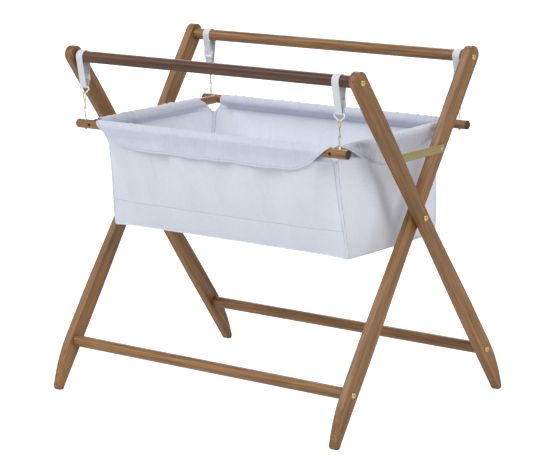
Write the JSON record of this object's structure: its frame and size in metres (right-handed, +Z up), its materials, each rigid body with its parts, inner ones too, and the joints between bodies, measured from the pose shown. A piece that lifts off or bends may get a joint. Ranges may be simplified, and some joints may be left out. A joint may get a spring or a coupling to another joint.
{
  "type": "bassinet on stand",
  "caption": "White fabric bassinet hung by webbing and snap hooks from a folding cross-legged wooden stand with brass lock bars.",
  "frame": {"origin": "on the floor, below the middle of the basket", "axes": "+X along the rails, -Y the front, +Z up"},
  "size_m": [0.9106, 0.638, 0.8501],
  "materials": {
    "wood": "walnut stain under satin lacquer",
    "brass": "polished",
    "brass_bar": "satin rolled strip",
    "steel_wire": "bright plated wire",
    "dark_screw": "blackened",
    "webbing": "woven tape",
    "white_plastic": "moulded, slightly glossy",
    "fabric": "fine plain weave, matt",
    "hardboard": "raw hardboard",
    "mattress_cover": "quilted cotton cover"
  },
  "bodies": {
    "frame_a": {"frame_a_outer_leg": "wood", "frame_a_inner_leg": "wood", "frame_a_top_rail": "wood", "frame_a_bottom_rail": "wood", "frame_a_outer_top_bolt": "brass", "frame_a_outer_bottom_bolt": "brass", "frame_a_inner_top_bolt": "brass", "frame_a_inner_bottom_bolt": "brass", "right_pivot_bolt": "brass", "right_catch_pin": "brass", "left_lock_rivet": "brass"},
    "frame_b": {"frame_b_outer_leg": "wood", "frame_b_inner_leg": "wood", "frame_b_top_rail": "wood", "frame_b_bottom_rail": "wood", "frame_b_outer_top_bolt": "brass", "frame_b_outer_bottom_bolt": "brass", "frame_b_inner_top_bolt": "brass", "frame_b_inner_bottom_bolt": "brass", "left_pivot_bolt": "brass", "left_catch_pin": "brass", "right_lock_rivet": "brass"},
    "right_lock_bar": {"right_lock_bar": "brass_bar"},
    "left_lock_bar": {"left_lock_bar": "brass_bar"},
    "front_hangers": {"front_left_strap": "webbing", "front_left_slider": "white_plastic", "front_left_ring": "white_plastic", "front_left_snap_hook": "brass", "front_right_strap": "webbing", "front_right_slider": "white_plastic", "front_right_ring": "white_plastic", "front_right_snap_hook": "brass"},
    "rear_hangers": {"rear_left_strap": "webbing", "rear_left_slider": "white_plastic", "rear_left_ring": "white_plastic", "rear_left_snap_hook": "brass", "rear_right_strap": "webbing", "rear_right_slider": "white_plastic", "rear_right_ring": "white_plastic", "rear_right_snap_hook": "brass"},
    "basket": {"front_dowel": "wood", "rear_dowel": "wood", "left_end_rail": "wood", "right_end_rail": "wood", "fabric_bag": "fabric", "base_board": "hardboard", "mattress": "mattress_cover", "front_left_wire_loop": "steel_wire", "front_right_wire_loop": "steel_wire", "rear_left_wire_loop": "steel_wire", "rear_right_wire_loop": "steel_wire", "front_left_end_screw": "dark_screw", "front_right_end_screw": "dark_screw", "rear_left_end_screw": "dark_screw", "rear_right_end_screw": "dark_screw"},
    "front_left_gate": {"front_left_snap_gate": "brass"},
    "front_right_gate": {"front_right_snap_gate": "brass"},
    "rear_left_gate": {"rear_left_snap_gate": "brass"},
    "rear_right_gate": {"rear_right_snap_gate": "brass"}
  },
  "joints": [
    {"name": "fold", "type": "hinge", "parent": "frame_a", "child": "frame_b", "pos_m": [0, 0, 0.4815], "axis": [1, 0, 0], "range_deg": [0, 63]},
    {"name": "right_lock_lift", "type": "hinge", "parent": "frame_b", "child": "right_lock_bar", "pos_m": [0.4305, 0.09941, 0.6265], "axis": [-1, 0, 0], "range_deg": [0, 95]},
    {"name": "left_lock_lift", "type": "hinge", "parent": "frame_a", "child": "left_lock_bar", "pos_m": [-0.4305, -0.09941, 0.6265], "axis": [1, 0, 0], "range_deg": [0, 95]},
    {"name": "basket_swing", "type": "hinge", "parent": "frame_a", "child": "front_hangers", "pos_m": [0, -0.2355, 0.825], "axis": [1, 0, 0], "range_deg": [-18, 18]},
    {"name": "basket_level", "type": "hinge", "parent": "front_hangers", "child": "basket", "pos_m": [0, -0.2355, 0.70099], "axis": [1, 0, 0], "range_deg": [-18, 18]},
    {"name": "rear_hanger_swing", "type": "hinge", "parent": "frame_b", "child": "rear_hangers", "pos_m": [0, 0.2355, 0.825], "axis": [1, 0, 0], "range_deg": [-18, 18]},
    {"name": "front_left_gate_press", "type": "hinge", "parent": "front_hangers", "child": "front_left_gate", "pos_m": [-0.387, -0.2318, 0.7225], "axis": [1, 0, 0], "range_deg": [0, 28], "stiffness_Nm_per_rad": 0.005},
    {"name": "front_right_gate_press", "type": "hinge", "parent": "front_hangers", "child": "front_right_gate", "pos_m": [0.387, -0.2318, 0.7225], "axis": [1, 0, 0], "range_deg": [0, 28], "stiffness_Nm_per_rad": 0.005},
    {"name": "rear_left_gate_press", "type": "hinge", "parent": "rear_hangers", "child": "rear_left_gate", "pos_m": [-0.387, 0.2318, 0.7225], "axis": [-1, 0, 0], "range_deg": [0, 28], "stiffness_Nm_per_rad": 0.005},
    {"name": "rear_right_gate_press", "type": "hinge", "parent": "rear_hangers", "child": "rear_right_gate", "pos_m": [0.387, 0.2318, 0.7225], "axis": [-1, 0, 0], "range_deg": [0, 28], "stiffness_Nm_per_rad": 0.005}
  ],
  "couplings": [
    {"joint": "right_lock_lift", "follows": "fold", "ratio": 1.5},
    {"joint": "left_lock_lift", "follows": "fold", "ratio": 1.5},
    {"joint": "basket_level", "follows": "basket_swing", "ratio": -1},
    {"joint": "rear_hanger_swing", "follows": "basket_swing", "ratio": 1}
  ]
}
